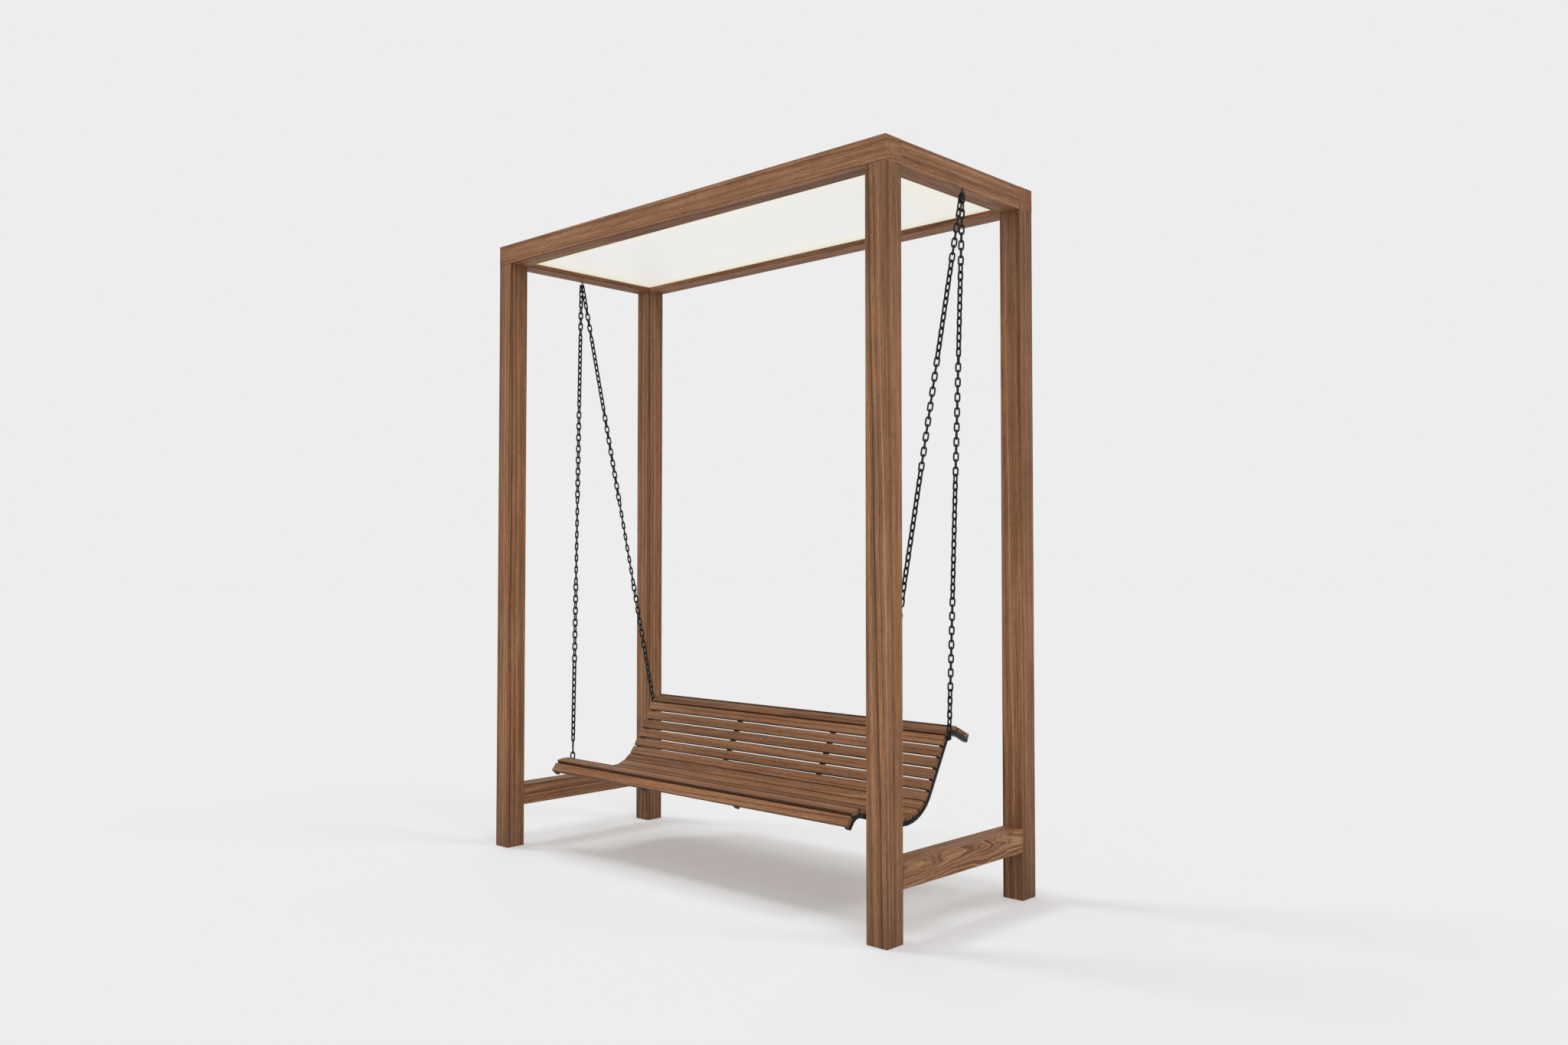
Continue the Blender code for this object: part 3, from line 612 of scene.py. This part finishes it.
def hookRoute():
    shape = hookShape
    radius = shape["bowl"] + shape["wire"] / 2
    neckTop = Vector((0, shape["drop"] - shape["neck"]))
    bowlStart = radius * alongLine(shape["rearAngle"])
    pull = shape["pullShare"] * (neckTop - bowlStart).length
    towards = Vector((math.sin(shape["rearAngle"]), -math.cos(shape["rearAngle"])))
    handles = (neckTop, neckTop - Vector((0, pull)), bowlStart - pull * towards, bowlStart)
    route = [Vector((0, shape["drop"] + shape["screw"])), Vector((0, shape["drop"]))]
    for step in range(shape["neckSteps"]):
        t = step / shape["neckSteps"]
        weights = ((1 - t) ** 3, 3 * t * (1 - t) ** 2, 3 * t * t * (1 - t), t ** 3)
        route.append(sum((weight * handle for weight, handle in zip(weights, handles)), Vector((0, 0))))
    sweep = shape["rearAngle"] + math.pi + shape["tipAngle"]
    for step in range(shape["bowlSteps"] + 1):
        route.append(radius * alongLine(shape["rearAngle"] - sweep * step / shape["bowlSteps"]))
    return route


def buildHooks():
    for name in ("hook_left", "hook_right"):
        curve = bpy.data.curves.new(name + "_wire", "CURVE")
        curve.dimensions = "3D"
        curve.bevel_depth = hookShape["wire"] / 2
        curve.bevel_resolution = hookShape["roundness"]
        curve.use_fill_caps = True
        route = hookRoute()
        spline = curve.splines.new("POLY")
        spline.points.add(len(route) - 1)
        for point, place in zip(spline.points, route):
            point.co = (middleOf(name).x, pivot.y + place.x, pivot.z + place.y, 1)
        spline.use_smooth = True
        addPiece(name + "_wire", curve, steel, "frame", name)
    print("hooks built")


# Chains: welded oval links. Each strand has its own turns, in runs of links that show their faces or stand aslant.

linkShape = {
    "wire": 7.8 * mm,
    "width": 26 * mm,
    "wireSides": 6,
    "endSteps": 5,
    "smoothBelow": 80,
    "aside": 3.4 * mm,
    "sink": 1.2 * mm,
    "pinGap": 0.2 * mm,
}

# Number of links, then for each run its first link and the turns of its even and its odd links, in degrees
strandTwists = {
    "rear_right": (74, ((0, 5, 95), (3, 30, 120), (4, 43, 133), (9, 0, 84), (11, -6, 84), (21, 30, 110), (22, 43, 133),
                        (37, -5, 85), (54, 43, 133), (67, -4, 86), (73, 0, 90))),
    "rear_left": (74, ((0, 5, 95), (4, 122, 43), (9, 6, 97), (22, 120, 43), (38, 2, 138), (53, 112, 43), (64, 6, 97),
                       (73, 0, 90))),
    "front_right": (83, ((0, -5, 85), (3, 40, 125), (5, 43, 133), (9, -5, 85), (22, 43, 133), (37, -4, 86),
                         (54, 43, 133), (67, -5, 85), (82, 90, 0))),
    "front_left": (83, ((0, 4, 94), (4, 117, 43), (9, 6, 97), (22, 116, 43), (38, 2, 138), (53, 115, 43), (66, 6, 97),
                        (78, 2, 138), (80, 143, 50), (82, 90, 0))),
}


def linkMesh(length):
    radius = (linkShape["width"] - linkShape["wire"]) / 2
    straight = length / 2 - radius
    bend = {"axis": (0, -1, 0), "angle": math.pi, "steps": linkShape["endSteps"]}
    bm = bmesh.new()
    start = bmesh.ops.create_circle(bm, segments=linkShape["wireSides"], radius=linkShape["wire"] / 2,
                                    matrix=Matrix.Translation((radius, 0, straight)))["verts"]
    first = list({edge for vert in start for edge in vert.link_edges})
    arch = bmesh.ops.spin(bm, geom=start + first, cent=(0, 0, straight), **bend)["geom_last"]
    drawn = bmesh.ops.extrude_edge_only(bm, edges=edgesOf(arch))["geom"]
    bmesh.ops.translate(bm, verts=vertsOf(drawn), vec=(0, 0, -2 * straight))
    arch = bmesh.ops.spin(bm, geom=vertsOf(drawn) + edgesOf(drawn), cent=(0, 0, -straight), **bend)["geom_last"]
    bmesh.ops.bridge_loops(bm, edges=first + edgesOf(arch))
    bmesh.ops.recalc_face_normals(bm, faces=bm.faces)
    return plainMesh("chain_link", bm)


def linkTurn(runs, number):
    current = [run for run in runs if run[0] <= number][-1]
    return current[1 + number % 2] * degree


def buildChains():
    shape = linkShape
    for strand, (count, runs) in strandTwists.items():
        row, hand = strand.split("_")
        back = 1 if row == "rear" else -1
        side = 1 if hand == "right" else -1
        low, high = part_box(f"chain_pin_{strand}")
        pin = middleOf(f"chain_pin_{strand}")
        pin.x = max(low[0], high[0], key=abs) - side * (pinShape["capLength"] + pinShape["neckLength"] / 2)
        top = Vector((middleOf(f"hook_{hand}").x, pivot.y + back * shape["aside"], pivot.z - shape["sink"]))
        down = (pin - top).normalized()
        bottom = pin + (pinShape["shank"] / 2 + shape["pinGap"] + shape["wire"] / 2) * down
        pitch = ((bottom - top).length - shape["wire"]) / count
        across = (Vector((1, 0, 0)) - down.x * down).normalized()
        fore = across.cross(down)
        link = linkMesh(pitch + shape["wire"])
        bm = bmesh.new()
        for number in range(count):
            turn = linkTurn(runs, number)
            lateral = math.cos(turn) * across + math.sin(turn) * fore
            facing = Matrix((lateral, down.cross(lateral), -down)).transposed().to_4x4()
            middle = top + (number * pitch + (pitch + shape["wire"]) / 2) * down
            known = len(bm.verts)
            bm.from_mesh(link)
            bm.verts.ensure_lookup_table()
            bmesh.ops.transform(bm, verts=bm.verts[known:], matrix=Matrix.Translation(middle) @ facing)
        bpy.data.meshes.remove(link)
        links = f"chain_{strand}_links"
        addPiece(links, smoothMesh(links, bm, shape["smoothBelow"]), steel, "swing", f"chain_{strand}")
    print("chains built")


# Floor: pale, and lit mostly by its own glow

floorFinish = {"reach": 60.0, "albedo": 0.03, "glow": 0.434, "glowColour": (1.0, 0.912, 0.882, 1)}


def addFloor():
    bm = bmesh.new()
    bmesh.ops.create_grid(bm, x_segments=1, y_segments=1, size=floorFinish["reach"])
    mesh = plainMesh("pale_floor", bm)
    material, _, _ = startMaterial("pale_floor", Base_Color=(*grey(floorFinish["albedo"]), 1), Roughness=1.0,
                                   Specular_IOR_Level=0.0, Emission_Color=floorFinish["glowColour"],
                                   Emission_Strength=floorFinish["glow"])
    mesh.materials.append(material)
    floor = newObject("pale_floor", mesh)
    print("floor laid")
    return floor


# Light: a pale sky and a soft sun for the swing, and soft lamps that light the floor alone

daylight = {
    "sky": (1.0, 1.0, 1.0, 1),
    "skyStrength": 0.847,
    "sunStrength": 0.845,
    "sunTilt": 38,
    "sunTurn": 40,
    "sunSoftness": 50,
}

# Lean towards the lamp across and fore and aft in degrees, share of the floor's light, softness in degrees
floorLamps = {
    "left_low": (-30, -13, 0.115, 13),
    "left_high": (-22, 4, 0.050, 22),
    "left_back": (-13, 14, 0.042, 20),
    "middle": (0, -3, 0.080, 20),
    "right_front": (18, -9, 0.075, 16),
    "right_back": (31, 15, 0.064, 16),
}

floorLampColour = (0.91, 1.0, 1.03)
shadeless = ("roof_panel", "beam_front", "beam_rear", "beam_left", "beam_right")  # none of these shades the floor


def addLamp(name, strength, softness):
    sun = bpy.data.lights.new(name, "SUN")
    sun.energy = strength
    sun.angle = softness * degree
    return newObject(name, sun)


def linkedSet(name, objects, state):
    group = bpy.data.collections.new(name)
    for item in objects:
        group.objects.link(item)
    for entry in group.collection_objects:
        entry.light_linking.link_state = state
    return group


def addDaylight(floor):
    world = bpy.data.worlds.new("pale_sky")
    world.use_nodes = True
    sky = world.node_tree.nodes["Background"]
    sky.inputs["Color"].default_value = daylight["sky"]
    sky.inputs["Strength"].default_value = daylight["skyStrength"]
    bpy.context.scene.world = world
    sun = addLamp("soft_sun", daylight["sunStrength"], daylight["sunSoftness"])
    sun.rotation_euler = (daylight["sunTilt"] * degree, 0, daylight["sunTurn"] * degree)
    sun.light_linking.receiver_collection = linkedSet("all_but_floor", [floor], "EXCLUDE")
    floorOnly = linkedSet("floor_only", [floor], "INCLUDE")
    belowRoof = linkedSet("all_below_roof", [nodes[name] for name in shadeless], "EXCLUDE")
    for name, (across, along, share, softness) in floorLamps.items():
        towards = Vector((math.tan(across * degree), math.tan(along * degree), 1)).normalized()
        lamp = addLamp(name, share * math.pi / (floorFinish["albedo"] * towards.z), softness)
        lamp.data.color = floorLampColour
        lamp.rotation_euler = towards.to_track_quat("Z", "Y").to_euler()
        lamp.light_linking.receiver_collection = floorOnly
        lamp.light_linking.blocker_collection = belowRoof
    print("light set")


# Camera

viewpoint = {
    "place": (4.1134, -4.1153, 1.4138),
    "tilt": 91.761,
    "turn": 43.145,
    "lens": 28.80,
    "sensor": 36,
    "reach": 500,
}


def addCamera():
    lens = bpy.data.cameras.new("viewpoint")
    lens.lens = viewpoint["lens"]
    lens.sensor_width = viewpoint["sensor"]
    lens.clip_end = viewpoint["reach"]
    camera = newObject("viewpoint", lens)
    camera.location = viewpoint["place"]
    camera.rotation_euler = (viewpoint["tilt"] * degree, 0, viewpoint["turn"] * degree)
    bpy.context.scene.camera = camera
    bpy.context.scene.view_settings.view_transform = "Standard"
    print("camera set")


finishTimber()
finishRoof()
buildSlats()
buildRibs()
buildPins()
buildHooks()
buildChains()
addDaylight(addFloor())
addCamera()
